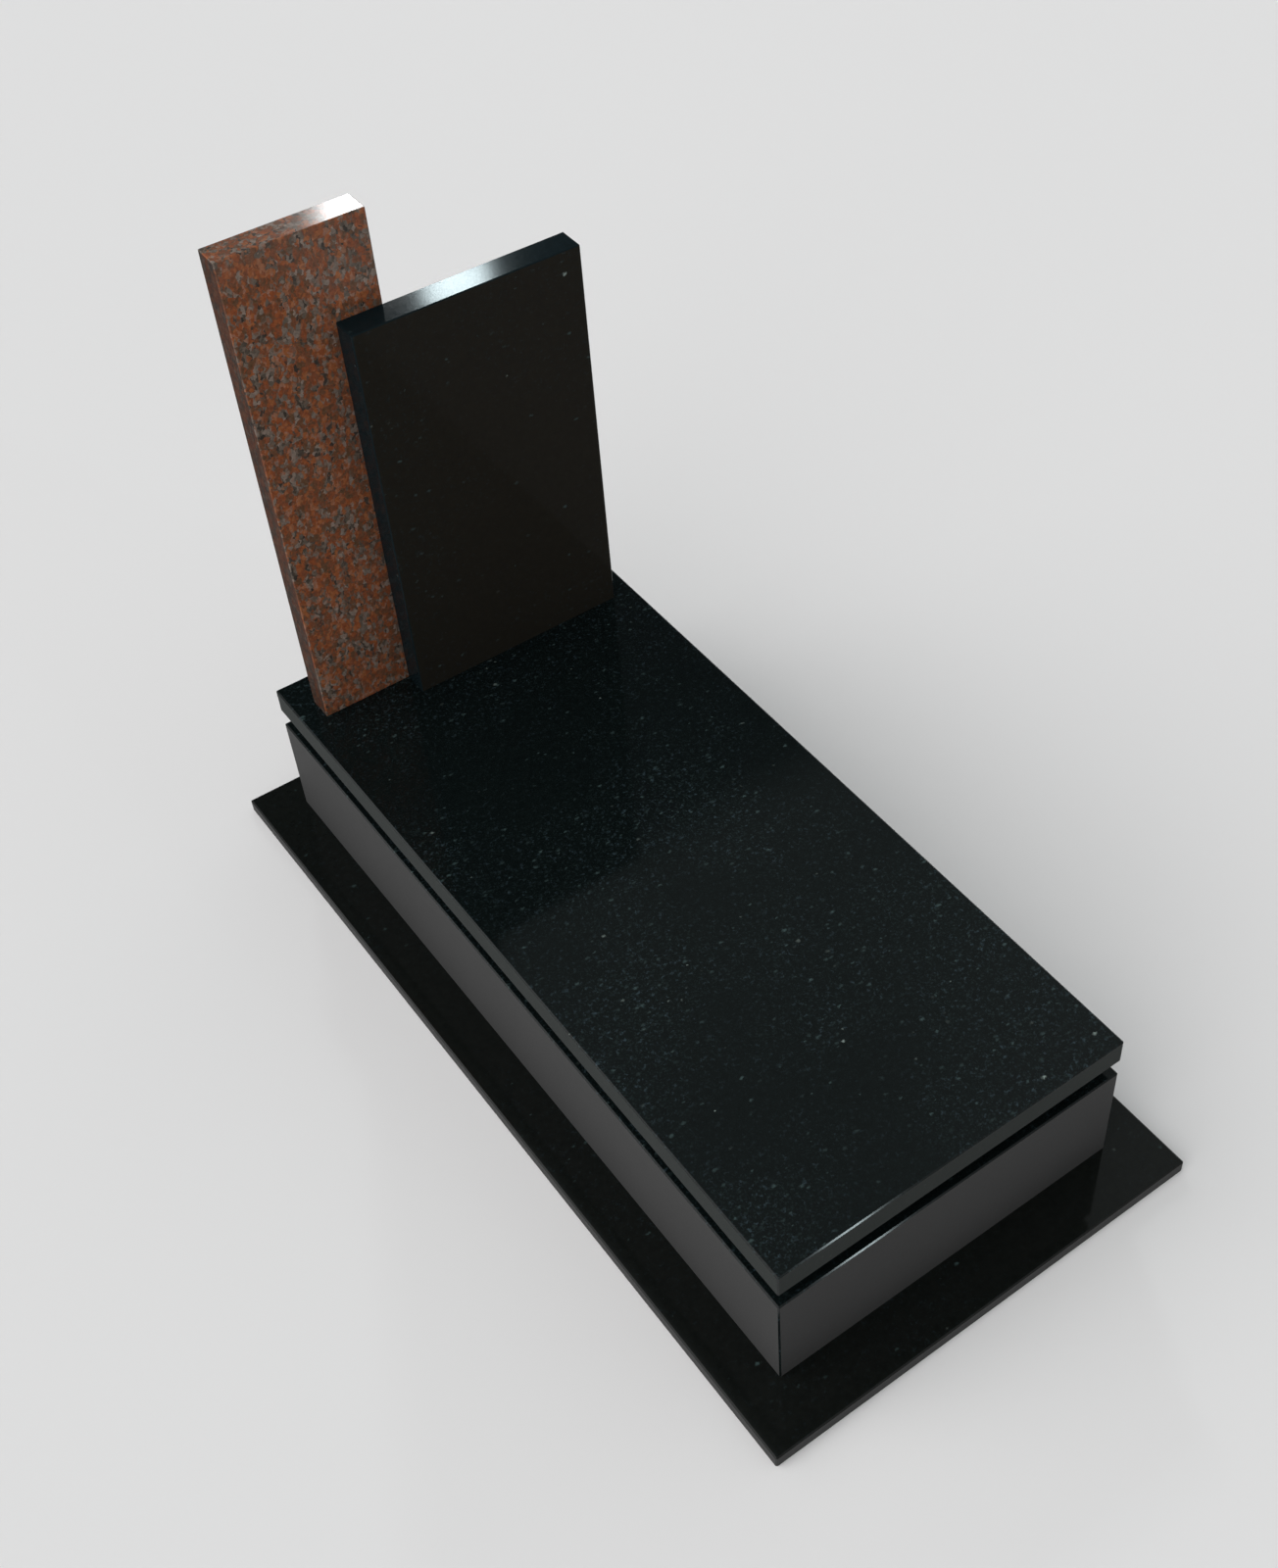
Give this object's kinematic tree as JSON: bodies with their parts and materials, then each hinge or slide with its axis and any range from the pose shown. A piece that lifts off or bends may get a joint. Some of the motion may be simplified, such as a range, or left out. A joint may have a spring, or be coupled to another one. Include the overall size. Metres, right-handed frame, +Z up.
{
  "type": "grave monument",
  "caption": "Polished granite grave monument: ground slab, mitred kerb, cover slab over a shadow gap, and a red and a black upright stele.",
  "frame": {"origin": "middle of the underside of the ground slab, which stands on the ground", "axes": "+X to the right of someone who faces the steles from the foot of the grave, +Y from the foot to the head of the grave, +Z up"},
  "size_m": [1, 2, 1.48],
  "materials": {
    "black_granite": "polished",
    "red_granite": "polished"
  },
  "bodies": {
    "root": {"ground_slab": "black_granite", "kerb_left": "black_granite", "kerb_right": "black_granite", "kerb_foot": "black_granite", "kerb_head": "black_granite", "riser_left": "black_granite", "riser_right": "black_granite", "riser_foot": "black_granite", "riser_head": "black_granite", "cover_slab": "black_granite", "red_stele": "red_granite", "black_stele": "black_granite"}
  },
  "joints": []
}
